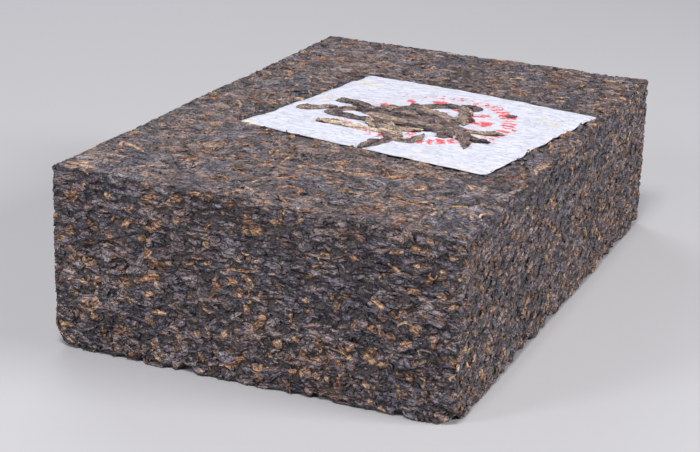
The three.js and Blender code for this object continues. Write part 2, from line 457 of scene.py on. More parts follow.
def goldenShare(face, across, up):
    # Golden leaf is commoner low on the sides and near the upright edges than near the top.
    height = up / faceHalves[face, 1]
    onSide = face < topFace
    place = np.stack([across, up, face * variety["faceStep"]], -1)
    patches = softNoise(place, goldenPlaces["patch"], 77)
    side = goldenPlaces["side"] - goldenPlaces["sideFall"] * height + goldenPlaces["sidePatches"] * patches
    nearEdge = np.exp(-(faceHalves[face, 0] - np.abs(across)) / goldenPlaces["edgeReach"])
    side = np.clip(side + goldenPlaces["edge"] * nearEdge, goldenPlaces["sideLeast"], 1)
    top = goldenPlaces["top"] + goldenPlaces["topPatches"] * patches
    return np.where(onSide, side, np.clip(top, goldenPlaces["topLeast"], 1))


lumpSection = [(-1, 1), (-0.8, 0.3), (0, 0), (0.8, 0.3), (1, 1)]
rolledSection = [(-1, 1), (-0.74, 0.24), (-0.26, 0), (0.26, 0), (0.74, 0.24), (1, 1)]
thinSection = [(-1, 1), (0, 0), (1, 1)]

flakeKind = {
    "perFace": [430, 430, 660, 660, 1000, 60],  # places on each face
    "where": everywhere,
    "length": 4.3,
    "lengthSpread": 0.38,
    "width": 2.5,
    "sideWidth": 0.8,  # these four are shares of the usual size or relief
    "topLength": 1.7,
    "topWidth": 1.35,
    "topRelief": 0.45,
    "warmth": 0.1,
    "sideSpread": 22,  # of the heading on the sides, in degrees from level
    "looseShare": 0.18,  # share of the leaves on the sides that lie in any heading
    "lift": (-0.3, 0.02),
    "tilt": 0.06,
    "curl": 0.9,
    "rings": 6,
    "section": lumpSection,
    "blunt": 0.5,
    "ragged": 0.22,
    "thickness": 0.6,
    "crumple": 0.09,
    "fold": 0.07,
    "twist": 0.15,
    "turns": 1.0,
    "ceiling": 0.15,
    "clearsTicket": True,
}
umberKind = dict(flakeKind, length=4.0, width=2.2, sideSpread=28, warmth=0.75)
stripKind = dict(
    flakeKind, perFace=[290, 290, 450, 450, 760, 40], length=5.2, lengthSpread=0.3, width=1.5,
    lift=(-0.14, 0.04), tilt=0.05, curl=0.9, section=rolledSection, rings=7, ragged=0.16,
    crumple=0.06, fold=0.1, twist=0.35, turns=1.3, thickness=0.6, topWidth=1.0, warmth=0.5,
)
fineKind = dict(
    flakeKind, perFace=[800, 800, 1250, 1250, 2300, 100], where=crumbShare,
    length=1.7, lengthSpread=0.35, width=1.0, lift=(-0.14, 0.05),
    sideSpread=45, looseShare=0.5, rings=3, section=thinSection,
    crumple=0.07, fold=0.05, thickness=0.4, tilt=0.16, topLength=1.0, topWidth=1.0, warmth=0.5,
)
goldenKind = dict(
    flakeKind, perFace=[430, 430, 680, 680, 760, 40], where=goldenShare,
    length=2.8, lengthSpread=0.42, width=1.55, sideWidth=0.95, sideSpread=40, looseShare=0.45,
    lift=(-0.14, 0.08), curl=1.2, ragged=0.3, rings=5,
    crumple=0.08, fold=0.09, ceiling=0.2, thickness=0.55, topLength=1.9, topWidth=0.9, topRelief=0.6,
    warmth=0.5,
)
stemKind = dict(
    goldenKind, perFace=[3, 3, 5, 5, 110, 4], where=everywhere, length=6.5, lengthSpread=0.35,
    width=1.1, sideWidth=0.9, sideSpread=14, looseShare=0.2, lift=(-0.1, 0.02), curl=0.45,
    rings=16, ragged=0.22, ceiling=0.12, topLength=1.3, warmth=0.3,
)
curledKind = dict(
    goldenKind, perFace=[26, 26, 40, 40, 60, 6], where=everywhere, length=4.6, lengthSpread=0.25,
    width=0.9, sideWidth=1.0, looseShare=1.0, lift=(-0.04, 0.08), curlRange=(150, 280),
    rings=11, ragged=0.15, ceiling=0.2,
)


# ---- the core under the leaves

coreLook = {
    "depth": 0.5,  # how far its surface lies under the mould's plane
    "patch": 0.9,  # size of its facets
    "crumbs": 0.16,  # height of the smallest crumbs
    "lumps": 0.12,
    "bed": 0.35,  # how much deeper it lies under the ticket
    "underDepth": 0.3,  # how far the underside lies inside the mould's plane
    "underRings": (1, 0.99, 0.93, 0.6, 0.02),  # how far out the underside's rings lie
}


def gridQuads(index):
    return np.stack([index[:-1, :-1], index[:-1, 1:], index[1:, 1:], index[1:, :-1]], -1).reshape(-1, 4)


def coreLift(face, across, up):
    # Under the mould's plane by the core's depth, plus two sizes of noise taken at the
    # point itself, so that two faces agree along the edge they share.
    points = ontoBlock(face, across, up, np.full(across.shape, -coreLook["depth"]))
    lift = coreLook["crumbs"] * softNoise(points, 0.9, 5) + coreLook["lumps"] * softNoise(points, 2.6, 6)
    bed = coreLook["bed"] * np.clip(insideTicket(across, up) + 1, 0, 1) * (face == topFace)
    return lift - coreLook["depth"] - bed


def evenSteps(halfLength):
    return np.linspace(-halfLength, halfLength, int(round(2 * halfLength / coreLook["patch"])) + 1)


def makeCore():
    # The four sides and the top are even grids; the underside is a set of rings that shrink
    # from the lower rim to its middle. Points shared by two faces are made one.
    places, quads, base = [], [], 0
    for face in sideFaces + [topFace]:
        wide, high = faceHalves[face, 0], faceHalves[face, 1]
        across, up = np.meshgrid(evenSteps(wide), evenSteps(high))
        facing = np.full(across.shape, face)
        lift = coreLift(facing, across, up)
        places.append(ontoBlock(facing, across, up, lift).reshape(-1, 3))
        quads.append(base + gridQuads(np.arange(across.size).reshape(across.shape)))
        base += across.size
    wide, high = faceHalves[underFace, 0], faceHalves[underFace, 1]
    alongWide, alongHigh = evenSteps(wide), evenSteps(high)
    across = np.concatenate([alongWide[:-1], np.full(len(alongHigh) - 1, wide),
                             alongWide[:0:-1], np.full(len(alongHigh) - 1, -wide)])
    up = np.concatenate([np.full(len(alongWide) - 1, -high), alongHigh[:-1],
                         np.full(len(alongWide) - 1, high), alongHigh[:0:-1]])
    shrink = np.array(coreLook["underRings"])[:, None]
    across, up = across * shrink, up * shrink
    facing = np.full(across.shape, underFace)
    lift = np.where(shrink == 1, coreLift(facing, across, up), -coreLook["underDepth"])
    places.append(ontoBlock(facing, across, up, lift).reshape(-1, 3))
    ring = np.arange(across.size).reshape(across.shape)
    ring = np.concatenate([ring, ring[:, :1]], 1)
    quads.append(base + gridQuads(ring)[:, ::-1])
    merged, owner = mergeAlike(np.concatenate(places))
    corners = owner[np.concatenate(quads)].ravel()
    cap = owner[base + ring[-1, :-1]]
    sizes = np.append(np.full(len(corners) // 4, 4), len(cap))
    core = makeMesh("pressedCore", merged, np.concatenate([corners, cap]), sizes)
    print(f"pressedCore: {int((sizes - 2).sum())} triangles")
    return onBody(core, "pressed_leaf", "brick")


mergeStep = 0.01


def mergeAlike(points):
    # Points that share a place to a hundredth of a millimetre become one.
    keys = np.round(points / mergeStep).astype(np.int64)
    first, owner = np.unique(keys, axis=0, return_index=True, return_inverse=True)[1:]
    return points[first], owner.ravel()


core = makeCore()
slateFlakes = makeLeaves("slateFlakes", flakeKind, 12)
umberFlakes = makeLeaves("umberFlakes", umberKind, 13)
rolledStrips = makeLeaves("rolledStrips", stripKind, 18)
fineChips = makeLeaves("fineChips", fineKind, 14)
goldenLeaves = makeLeaves("goldenLeaves", goldenKind, 15)
strawStems = makeLeaves("strawStems", stemKind, 16)
curledTips = makeLeaves("curledTips", curledKind, 17)


# ---- the paper ticket

def makeTicket():
    # An even grid over the ticket's square, its outline drawn in and out a little, its
    # height the print of the leaves beneath: three sizes of noise. The underside repeats
    # the grid one paper thickness lower, joined to it round the border.
    columns, rows = ticket["cells"]
    s, t = np.meshgrid(np.linspace(-1, 1, columns + 1), np.linspace(-1, 1, rows + 1))
    x = s * ticket["width"] / 2
    y = t * ticket["depth"] / 2
    place = np.stack([x, y, np.zeros_like(x)], -1)
    x = x + np.abs(s) ** 12 * np.sign(s) * ticket["raggedness"] * softNoise(place, 4.0, 61)
    y = y + np.abs(t) ** 12 * np.sign(t) * ticket["raggedness"] * softNoise(place, 4.0, 62)
    rumple = 0
    for seed, (height, size, finer) in enumerate(ticket["rumples"], 63):
        rumple = rumple + height * softNoise(place * [1, finer, 1], size, seed)
    border = np.maximum(np.abs(s), np.abs(t)) ** 30
    lift = -ticket["sink"] + rumple - ticket["borderSink"] * border
    across, up = onTicket(x, y)
    face = np.full(x.shape, topFace)
    upper = ontoBlock(face, across, up, lift)
    lower = ontoBlock(face, across, up, lift - ticket["thickness"])
    index = np.arange(x.size).reshape(x.shape)
    quads = gridQuads(index)
    around = np.concatenate([index[0, :-1], index[:-1, -1], index[-1, :0:-1], index[:0:-1, 0]])
    follow = np.roll(around, -1)
    edge = np.stack([around, around + x.size, follow + x.size, follow], -1)
    corners = np.concatenate([quads, quads[:, ::-1] + x.size, edge]).ravel()
    points = np.concatenate([upper.reshape(-1, 3), lower.reshape(-1, 3)])
    maps = np.tile(np.stack([x, y], -1).reshape(-1, 2), (2, 1))
    piece = makeMesh("paperTicket", points, corners, np.full(len(corners) // 4, 4), maps)
    print("paperTicket: ready")
    return onBody(piece, "ticket_paper", "ticket")


paperTicket = makeTicket()


# ---- the leaves over the ticket

# Each leaf's width, how light it is from 0 to 1, and three points its middle line runs
# through, from the ticket's middle and along its sides.
tangleLeaves = [
    (4.0, 0.3, (-25, 0.8), (-20.5, 1.8), (-14, -1)),
    (3.0, 0.4, (-20.8, -10.5), (-19.3, -6), (-15, -1.5)),
    (3.0, 0.2, (-19.8, -11.4), (-15, -9.4), (-6, -10.4)),
    (2.7, 1.0, (-18.2, -17.2), (-10, -16.6), (1.5, -16.6)),
    (3.6, 0.5, (-17, -1), (-7, 1.2), (2, -1)),
    (3.4, 0.2, (-16, -2.6), (-5, -2.6), (6, -4)),
    (3.2, 0.6, (-13, -5), (-4, -5.6), (5, -7)),
    (2.8, 0.3, (-11, -8), (-3, -9.5), (6, -7.5)),
    (2.8, 0.7, (-10, -9.8), (-2, -12.8), (5.5, -9)),
    (3.4, 0.3, (-4, -1.5), (5, -1.4), (14.5, -4.4)),
    (3.0, 0.5, (-3, -4.6), (5, -5.4), (14, -6.2)),
    (2.6, 0.2, (0, -7), (6, -7.6), (11, -7.4)),
    (2.6, 0.4, (-7, -9), (-3.8, -14), (2.4, -18.4)),
    (2.4, 0.7, (-5, -9), (0.2, -12.5), (3.8, -18)),
    (3.6, 0.3, (-8, 0), (-4.4, 10), (4, 14.6)),
    (3.0, 0.5, (2, 16.8), (7, 8), (11, 0)),
    (1.8, 0.2, (3.5, 14.5), (6.5, 16.2), (7, 12)),
    (2.8, 0.6, (-6, 6.2), (3, 4.6), (11.5, 1.8)),
    (2.2, 0.2, (-6, 3.4), (2, 2), (10, 0)),
    (2.6, 0.5, (0.5, -18), (6.6, -19), (6.8, -11.5)),
    (2.0, 0.3, (9.6, -11.6), (12, -9.6), (9, -4.6)),
    (3.4, 0.4, (9, -2), (14.6, -8), (19.8, -16.4)),
    (2.0, 0.6, (12.5, -4.6), (17, -2.6), (21, -1.4)),
    (2.0, 0.2, (13.4, -5), (17.6, -8.3), (22.4, -8)),
    (2.4, 0.3, (3.2, -17.5), (2, -24.4), (0.6, -30.6)),
]
curlLeft = [(2.8, 0.6, (-28.8, -10.8), (-26, -8), (-21.8, -4.6))]
bitRight = [(1.5, 0.3, (15, 14.4), (16, 15.2), (17.2, 16.4))]
strandLook = {
    "rings": 40,
    "around": 14,
    "thickness": 0.36,
    "lift": 0.02,  # the least height of a strand's middle over the mould's plane
    "levels": 0.12,  # how much higher a strand's middle may lie
    "wander": 0.08,
    "ragged": 0.24,
    "biteLength": 1.8,  # of the ragged edge
    "folds": 0.15,  # height of the lengthwise folds
    "foldLength": 2.2,
    "foldWidth": 0.45,
    "crumbs": 0.05,
    "tailWidth": 0.45,  # share of the full width that is left at the thin end
    "endLength": 0.125,  # share of the length over which each end closes
}
shredKind = dict(
    flakeKind, rings=6, section=rolledSection, clearsTicket=False, ceiling=1.1, length=3.4, width=0.9,
    crumple=0.06, fold=0.12, twist=0.3, turns=0.8, ragged=0.2, thickness=0.4,
)
shredLook = {
    "steps": 60,  # points along a strand where a shred may lie
    "bareSteps": 3,  # none lies on so many steps at either end
    "aside": 0.42,  # the farthest from a strand's middle line, in strand widths
    "headingSpread": 0.22,
    "sizes": (0.6, 1.5),  # smallest and largest share of the usual length and width
    "lifts": (0.28, 0.62),
    "curl": 0.5,
    "tilt": 0.06,
    "darker": 0.05,  # than the strand below
    "cooler": 0.1,  # than its own tone
    "toneSpread": 0.2,
}


def strandLines(rng, leaves, rings):
    # Middle lines through each leaf's three points, by the parabola that meets them at both
    # ends and halfway, with a slow random wander; also their headings and run lengths.
    knots = np.array([leaf[2:] for leaf in leaves], float)
    t = np.linspace(0, 1, rings)
    shares = np.stack([(1 - 2 * t) * (1 - t), 4 * t * (1 - t), t * (2 * t - 1)], 1)
    middle = np.einsum("rk,lkc->lrc", shares, knots)
    wander = np.cumsum(rng.normal(0, strandLook["wander"], middle.shape), 1)
    middle = middle + wander * np.sin(np.pi * t)[None, :, None]
    heading = np.gradient(middle, axis=1)
    run = np.cumsum(np.linalg.norm(heading, axis=-1), 1)
    return middle, heading / np.linalg.norm(heading, axis=-1, keepdims=True), run


def makeStrands(name, leaves, node, seed):
    # A flat tube along each leaf's middle line. The half width swells early and narrows to
    # both ends, times a ragged noise; the top carries folds that run lengthwise, from noise
    # stretched along the leaf.
    rng = np.random.default_rng(seed)
    rings, around = strandLook["rings"], strandLook["around"]
    count = len(leaves)
    middle, heading, run = strandLines(rng, leaves, rings + 2)
    run = run[..., None]
    own = np.arange(count)[:, None, None]
    width = np.array([leaf[0] for leaf in leaves])[:, None, None]
    t = np.linspace(0, 1, rings + 2)[None, :, None]
    tail = strandLook["tailWidth"]
    swell = tail + (1 - tail) * np.sin(np.pi * np.minimum(1, 0.08 + 0.92 * t**0.8))
    closing = np.clip(np.minimum(t, 1 - t) / strandLook["endLength"], 0, 1) ** 0.6
    angle = 2 * np.pi * np.arange(around)[None, None, :] / around
    sway = np.cos(angle)
    key = np.stack(np.broadcast_arrays(run / strandLook["biteLength"], own * 7.3, np.sign(sway) * 40), -1)
    reach = width / 2 * swell * closing * (1 + strandLook["ragged"] * softNoise(key, 1.0, seed + 3))
    x = middle[..., :1] - heading[..., 1:] * sway * reach
    y = middle[..., 1:] + heading[..., :1] * sway * reach
    level = strandLook["lift"] + strandLook["levels"] * rng.uniform(0, 1, (count, 1, 1))
    foldPlace = run / strandLook["foldLength"], own * 5.1, sway * reach / strandLook["foldWidth"]
    key = np.stack(np.broadcast_arrays(*foldPlace), -1)
    fold = strandLook["folds"] * softNoise(key, 1.0, seed + 5)
    fold = fold + strandLook["crumbs"] * softNoise(key * 2.3, 1.0, seed + 6)
    lift = level + strandLook["thickness"] * np.sin(angle) * closing
    lift = lift + fold * (np.sin(angle) > -0.2)
    across, up = onTicket(x, y)
    points = gather(ontoBlock(np.full(x.shape, topFace), across, up, lift))
    maps = gather(np.stack([np.broadcast_to(run, x.shape) + 10 * own, sway * reach], -1))
    tone = np.repeat([leaf[1] for leaf in leaves], rings * around + 2)
    # Painted shade: 0 on the strand's top, rising over its sides to 1 on its underside, which darken as if
    # shaded.
    rim = gather(np.broadcast_to(np.clip(0.6 - np.sin(angle), 0, 1), x.shape))
    corners, sizes = tubeFaces(count, rings, around)
    values = {"tone": tone, "warmth": tone, "rim": rim}
    piece = makeMesh(name, points, corners, sizes, maps, values)
    print(f"{name}: {count} leaves, {int((sizes - 2).sum())} triangles")
    return onBody(piece, "ticket_leaf", node)


def makeShreds(name, leaves, node, perMillimetre, seed):
    # Small torn leaves laid along the strands, heading nearly as they do, in their colours.
    rng = np.random.default_rng(seed)
    steps, bare = shredLook["steps"], shredLook["bareSteps"]
    middle, heading, run = strandLines(rng, leaves, steps)
    width = np.array([leaf[0] for leaf in leaves])
    share = run[:, -1] * width
    count = int(perMillimetre * run[:, -1].sum())
    pick = rng.choice(len(leaves), count, p=share / share.sum())
    step = rng.integers(bare, steps - bare, count)
    aside = rng.uniform(-shredLook["aside"], shredLook["aside"], count) * width[pick]
    along = heading[pick, step]
    x = middle[pick, step, 0] - along[:, 1] * aside
    y = middle[pick, step, 1] + along[:, 0] * aside
    across, up = onTicket(x, y)
    turn = np.arctan2(along[:, 1], along[:, 0]) + ticketTurn
    turn = turn + rng.normal(0, shredLook["headingSpread"], count)
    tone = np.array([leaf[1] for leaf in leaves])[pick]
    tone = np.clip(tone + rng.normal(-shredLook["darker"], shredLook["toneSpread"], count), 0, 1)
    plan = {
        "face": np.full(count, topFace),
        "across": across,
        "up": up,
        "heading": turn,
        "length": rng.uniform(*shredLook["sizes"], count) * shredKind["length"],
        "width": rng.uniform(*shredLook["sizes"], count) * shredKind["width"],
        "lift": rng.uniform(*shredLook["lifts"], count),
        "curl": rng.normal(0, shredLook["curl"], count),
        "tilt": rng.normal(0, shredLook["tilt"], (2, count)),
        "tone": tone,
        "warmth": np.clip(tone + rng.normal(-shredLook["cooler"], shredLook["toneSpread"], count), 0, 1),
        "relief": np.ones(count),
    }
    return layLeaves(name, rng, plan, shredKind, "ticket_leaf", node)


leafTangle = makeStrands("leafTangle", tangleLeaves, "leaf_cluster", 21)
leafCurlLeft = makeStrands("leafCurlLeft", curlLeft, "leaf_curl_left", 22)
leafBitRight = makeStrands("leafBitRight", bitRight, "leaf_bit_right", 23)
tangleShreds = makeShreds("tangleShreds", tangleLeaves, "leaf_cluster", 0.6, 24)
curlShreds = makeShreds("curlShreds", curlLeft, "leaf_curl_left", 1.0, 25)


# ---- materials

def newMaterial(name):
    material = bpy.data.materials.new(name)
    material.use_nodes = True
    nodes = material.node_tree.nodes
    return material, nodes, material.node_tree.links, nodes["Principled BSDF"]


def addNode(nodes, kind, **settings):
    node = nodes.new(kind)
    for key, value in settings.items():
        setattr(node, key, value)
    return node


def mathNode(nodes, links, operation, first, second=0.0):
    # One step of arithmetic; each of the two inputs is a number or an output to link.
    node = addNode(nodes, "ShaderNodeMath", operation=operation)
    for socket, value in zip(node.inputs, (first, second)):
        if isinstance(value, (int, float)):
            socket.default_value = value
        else:
            links.new(value, socket)
    return node.outputs[0]


def noiseNode(nodes, links, vector, scale, detail=3.0, roughness=0.6):
    node = addNode(nodes, "ShaderNodeTexNoise")
    node.inputs["Scale"].default_value = scale
    node.inputs["Detail"].default_value = detail
    node.inputs["Roughness"].default_value = roughness
    links.new(vector, node.inputs["Vector"])
    return node.outputs["Fac"]


def stretched(nodes, links, vector, scale):
    node = addNode(nodes, "ShaderNodeMapping")
    node.inputs["Scale"].default_value = scale
    links.new(vector, node.inputs["Vector"])
    return node.outputs["Vector"]


def rampNode(nodes, links, factor, stops):
    # stops are rows of (place, colour), the colour as linear red, green and blue.
    node = addNode(nodes, "ShaderNodeValToRGB")
    band = node.color_ramp
    while len(band.elements) < len(stops):
        band.elements.new(0.5)
    for element, (place, colour) in zip(band.elements, stops):
        element.position = place
        element.color = (*colour, 1)
    links.new(factor, node.inputs["Fac"])
    return node.outputs["Color"]


def smoothStep(nodes, links, value, low, high):
    node = addNode(nodes, "ShaderNodeMapRange", interpolation_type="SMOOTHSTEP")
    node.inputs["From Min"].default_value = low
    node.inputs["From Max"].default_value = high
    links.new(value, node.inputs["Value"])
    return node.outputs["Result"]


def attributeNode(nodes, name):
    return addNode(nodes, "ShaderNodeAttribute", attribute_name=name).outputs["Fac"]


def spotNode(nodes, links):
    # The place on the brick, in millimetres.
    inMetres = addNode(nodes, "ShaderNodeTexCoord").outputs["Object"]
    spot = addNode(nodes, "ShaderNodeVectorMath", operation="SCALE")
    spot.inputs["Scale"].default_value = 1 / mm
    links.new(inMetres, spot.inputs[0])
    return spot.outputs["Vector"]


def addBump(nodes, links, shader, height, distance):
    # distance is what a height of 1 stands for, in millimetres.
    bump = addNode(nodes, "ShaderNodeBump")
    bump.inputs["Distance"].default_value = distance * mm
    links.new(height, bump.inputs["Height"])
    links.new(bump.outputs["Normal"], shader.inputs["Normal"])


grainLook = {
    "fibres": (0.45, 2.4, 1),  # to the millimetre, along and across a leaf
    "wrinkles": (1.5, 2.0, 1),
    "fibreShare": 0.45,  # of the mottling; the rest comes from patches on the brick
    "wrinkleHeight": 0.65,
    "fleckRange": (0.58, 0.72),  # noise where a fleck begins and where it is whole
    # painted shade in the wrinkles' valleys: wrinkle noise where it begins and where it is whole
    "valleyShadeRange": (0.46, 0.32),
    "lumps": (0.26, 0.30, 0.60),  # to the millimetre, along the brick's axes
    "lumpSway": 1.2,  # how far the lumps are bent out of place
    "crackShadeRange": (0.075, 0.03),  # distance to a lump's border where the painted crack shade begins and is whole
    "crackShadeKept": (0.38, 0.48),  # noise where the painted crack shade begins to show and where it is whole
    "pillowRange": (0.0, 0.28),
    "pillowHeight": 0.7,
}


def buildLeafGrain():
    # Veins and wrinkles of a dried leaf. Place is the leaf's own map in millimetres, Spot the
    # place on the brick in millimetres. Mottle, Flecks and the shade output run from 0 to 1; the
    # shade output is painted shade in the wrinkles' valleys and in thin cracks between pressed
    # lumps. Height is for a bump.
    group = bpy.data.node_groups.new("leafGrain", "ShaderNodeTree")
    for label in ("Place", "Spot"):
        group.interface.new_socket(label, in_out="INPUT", socket_type="NodeSocketVector")
    group.interface.new_socket("Veins", in_out="INPUT", socket_type="NodeSocketFloat")
    for label in ("Mottle", "Flecks", "ShadeOutput", "Height"):
        group.interface.new_socket(label, in_out="OUTPUT", socket_type="NodeSocketFloat")
    nodes, links = group.nodes, group.links
    entry = addNode(nodes, "NodeGroupInput")
    leave = addNode(nodes, "NodeGroupOutput")
    place, spot = entry.outputs["Place"], entry.outputs["Spot"]
    fibre = noiseNode(nodes, links, stretched(nodes, links, place, grainLook["fibres"]), 1.0, 1.0, 0.5)
    wrinklePlace = stretched(nodes, links, place, grainLook["wrinkles"])
    wrinkle = noiseNode(nodes, links, wrinklePlace, 1.0, 1.0, 0.5)
    patch = noiseNode(nodes, links, spot, 0.9, 3.0, 0.65)
    specks = noiseNode(nodes, links, spot, 2.6, 2.0, 0.6)
    share = grainLook["fibreShare"]
    mottle = mathNode(nodes, links, "ADD", mathNode(nodes, links, "MULTIPLY", fibre, share),
                      mathNode(nodes, links, "MULTIPLY", patch, 1 - share))
    veined = mathNode(nodes, links, "MULTIPLY", fibre, entry.outputs["Veins"])
    wrinkled = mathNode(nodes, links, "MULTIPLY", wrinkle, grainLook["wrinkleHeight"])
    height = mathNode(nodes, links, "ADD", veined, wrinkled)
    flecks = smoothStep(nodes, links, specks, *grainLook["fleckRange"])
    # Painted shade in the wrinkles' valleys, where the bump is lowest.
    creviceShade = smoothStep(nodes, links, wrinkle, *grainLook["valleyShadeRange"])
    sway = addNode(nodes, "ShaderNodeTexNoise")
    sway.inputs["Scale"].default_value = 0.45
    links.new(spot, sway.inputs["Vector"])
    bent = addNode(nodes, "ShaderNodeVectorMath", operation="MULTIPLY_ADD")
    bent.inputs[1].default_value = [grainLook["lumpSway"]] * 3
    links.new(sway.outputs["Color"], bent.inputs[0])
    links.new(stretched(nodes, links, spot, grainLook["lumps"]), bent.inputs[2])
    lumps = addNode(nodes, "ShaderNodeTexVoronoi", feature="DISTANCE_TO_EDGE")
    lumps.inputs["Scale"].default_value = 1.0
    links.new(bent.outputs["Vector"], lumps.inputs["Vector"])
    # Painted shade: thin dark cracks along the borders of the pressed lumps.
    crackShade = smoothStep(nodes, links, lumps.outputs["Distance"], *grainLook["crackShadeRange"])
    kept = noiseNode(nodes, links, spot, 0.30, 1.0, 0.5)
    kept = smoothStep(nodes, links, kept, *grainLook["crackShadeKept"])
    crackShade = mathNode(nodes, links, "MULTIPLY", crackShade, kept)
    pillow = smoothStep(nodes, links, lumps.outputs["Distance"], *grainLook["pillowRange"])
    pillow = mathNode(nodes, links, "MULTIPLY", pillow, grainLook["pillowHeight"])
    height = mathNode(nodes, links, "ADD", height, pillow)
    links.new(mottle, leave.inputs["Mottle"])
    links.new(flecks, leave.inputs["Flecks"])
    links.new(mathNode(nodes, links, "MAXIMUM", creviceShade, crackShade), leave.inputs["ShadeOutput"])
    links.new(height, leave.inputs["Height"])
    return group


leafGrain = buildLeafGrain()


def mixColour(nodes, links, blend, factor, first, second):
    # Colours mixed by a blend mode; each input is a number, a colour or an output to link.
    node = addNode(nodes, "ShaderNodeMix", data_type="RGBA", blend_type=blend)
    for label, value in (("Factor", factor), ("A", first), ("B", second)):
        wanted = "NodeSocketFloatFactor" if label == "Factor" else "NodeSocketColor"
        socket = next(s for s in node.inputs if s.name == label and s.bl_idname == wanted)
        if isinstance(value, (int, float)):
            socket.default_value = value
        elif isinstance(value, tuple):
            socket.default_value = (*value, 1)
        else:
            links.new(value, socket)
    return next(s for s in node.outputs if s.bl_idname == "NodeSocketColor")


def leafFinish(name, look):
    # The leaf's colour runs along a cool and a warm ramp by its own tone, pushed by mottling,
    # and its warmth mixes the two. Tan flecks lie over that. Painted shade goes over all: near
    # black in the wrinkles' valleys and the cracks between lumps, and darker towards the leaf's
    # rim and where it lies deep. Its veins and wrinkles are a bump.
    material, nodes, links, shader = newMaterial(name)
    place = addNode(nodes, "ShaderNodeUVMap", uv_map="surfaceMap").outputs["UV"]
    tone, warmth, rim, depth = [
        attributeNode(nodes, label) for label in ("tone", "warmth", "rim", "depth")]
    grain = addNode(nodes, "ShaderNodeGroup", node_tree=leafGrain)
    grain.inputs["Veins"].default_value = look["veins"]
    links.new(place, grain.inputs["Place"])
    links.new(spotNode(nodes, links), grain.inputs["Spot"])
    own = mathNode(nodes, links, "MULTIPLY", tone, look["toneSpread"])
    push = mathNode(nodes, links, "MULTIPLY", grain.outputs["Mottle"], look["mottle"])
    pushed = mathNode(nodes, links, "ADD", own, push)
    factor = mathNode(nodes, links, "ADD", pushed, 0.5 - 0.5 * look["toneSpread"] - 0.5 * look["mottle"])
    colour = mixColour(nodes, links, "MIX", warmth, rampNode(nodes, links, factor, look["coolStops"]),
                       rampNode(nodes, links, factor, look["warmStops"]))
    fleck = mathNode(nodes, links, "MULTIPLY", grain.outputs["Flecks"], look["flecks"])
    colour = mixColour(nodes, links, "MIX", fleck, colour, look["fleckColour"])
    # Painted shade: the wrinkles' valleys and the cracks between lumps go towards near black.
    shadeMix = mathNode(nodes, links, "MULTIPLY", grain.outputs["ShadeOutput"], look["creviceShade"])
    colour = mixColour(nodes, links, "MIX", shadeMix, colour, look["shadeColour"])
    # Painted shade: the leaf darkens towards its rim and where it lies deep.
    rimDepthShade = mathNode(nodes, links, "POWER", rim, 4.0)
    rimDepthShade = mathNode(nodes, links, "MAXIMUM", rimDepthShade, depth)
    rimDepthShade = mathNode(nodes, links, "MULTIPLY", rimDepthShade, look["rimDark"])
    colour = mixColour(nodes, links, "MIX", rimDepthShade, colour, look["shadeColour"])
    links.new(colour, shader.inputs["Base Color"])
    rough = mathNode(nodes, links, "MULTIPLY", grain.outputs["Mottle"], 0.3)
    links.new(mathNode(nodes, links, "ADD", rough, look["roughness"]), shader.inputs["Roughness"])
    shader.inputs["Specular IOR Level"].default_value = look["specular"]
    addBump(nodes, links, shader, grain.outputs["Height"], look["bump"])
    return material


slate = [(0.1, (0.044, 0.040, 0.060)), (0.42, (0.165, 0.150, 0.203)), (0.7, (0.32, 0.275, 0.33)),
         (0.95, (0.60, 0.50, 0.48))]
umber = [(0.1, (0.072, 0.054, 0.060)), (0.42, (0.250, 0.178, 0.176)), (0.7, (0.47, 0.315, 0.27)),
         (0.95, (0.60, 0.41, 0.31))]
straw = [(0.1, (0.15, 0.080, 0.052)), (0.4, (0.50, 0.285, 0.175)), (0.7, (0.88, 0.55, 0.34)),
         (0.95, (1.0, 0.78, 0.53))]
rust = [(0.1, (0.11, 0.046, 0.030)), (0.4, (0.40, 0.180, 0.100)), (0.7, (0.74, 0.38, 0.215)),
        (0.95, (1.0, 0.62, 0.38))]
# The near-black colour and the strengths that mix it in are painted shade.
darkLook = {
    "veins": 0.6, "toneSpread": 0.6, "mottle": 1.8, "coolStops": slate, "warmStops": umber,
    "flecks": 0.45, "fleckColour": (0.38, 0.22, 0.14), "creviceShade": 0.9, "shadeColour": (0.008, 0.007, 0.010),
    "rimDark": 0.8, "roughness": 0.3, "specular": 0.6, "bump": 1.2,
}
goldLook = dict(darkLook, coolStops=straw, warmStops=rust, veins=1.7, mottle=3.0, flecks=0.3,
                fleckColour=(0.7, 0.45, 0.28), creviceShade=0.7, shadeColour=(0.040, 0.022, 0.016), rimDark=0.6,
                roughness=0.36, specular=0.45)
twine = [(0.1, (0.080, 0.054, 0.045)), (0.42, (0.29, 0.195, 0.145)), (0.7, (0.60, 0.43, 0.31)),
         (0.95, (0.88, 0.68, 0.52))]
tangleLook = dict(darkLook, veins=1.0, roughness=0.36, coolStops=umber, warmStops=twine, toneSpread=1.0,
                  mottle=1.7, creviceShade=0.6, bump=0.7)

finishes = [
    (leafFinish("flakeLeaf", darkLook), [slateFlakes, umberFlakes, fineChips]),
    (leafFinish("rolledLeaf", dict(darkLook, veins=1.3)), [rolledStrips]),
    (leafFinish("goldenLeaf", goldLook), [goldenLeaves, strawStems, curledTips]),
    (leafFinish("tangleLeaf", tangleLook), [leafTangle, leafCurlLeft, leafBitRight, tangleShreds,
                                            curlShreds]),
]
for material, pieces in finishes:
    for piece in pieces:
        piece.data.materials.append(material)


